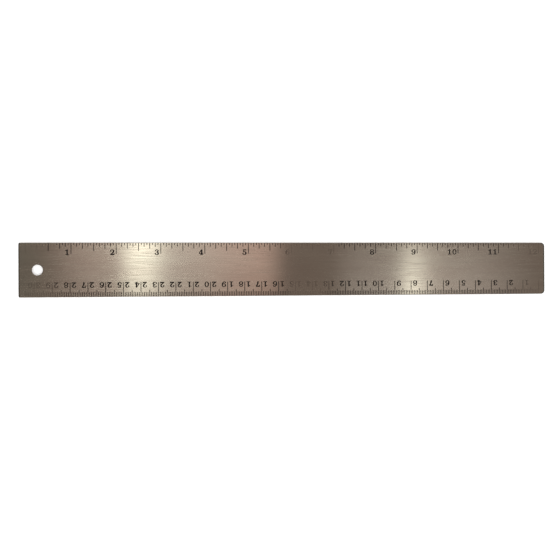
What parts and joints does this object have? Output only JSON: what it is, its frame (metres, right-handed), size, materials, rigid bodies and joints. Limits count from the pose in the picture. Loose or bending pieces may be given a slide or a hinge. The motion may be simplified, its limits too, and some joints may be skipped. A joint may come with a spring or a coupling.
{
  "type": "steel ruler",
  "caption": "Flat steel ruler with inch and centimetre scales on opposite edges, a hanging hole at one end and a non-slip cork backing.",
  "frame": {"origin": "centre of the underside, which is the cork's flat face, at the middle of the ruler's length and width", "axes": "+X along the inch scale, away from the hanging hole; +Y towards the inch edge; +Z out of the graduated face"},
  "size_m": [0.3124, 0.031, 0.0019],
  "materials": {
    "brushed_steel": "satin, brushed along the length",
    "adhesive": "clear, slightly yellow pressure-sensitive film",
    "cork": "pressed cork granules, sanded flat",
    "black_enamel": "dark brown-black fill in the etched lines and numerals"
  },
  "bodies": {
    "root": {"steel_blade": "brushed_steel", "adhesive_film": "adhesive", "cork_backing": "cork"}
  },
  "joints": []
}
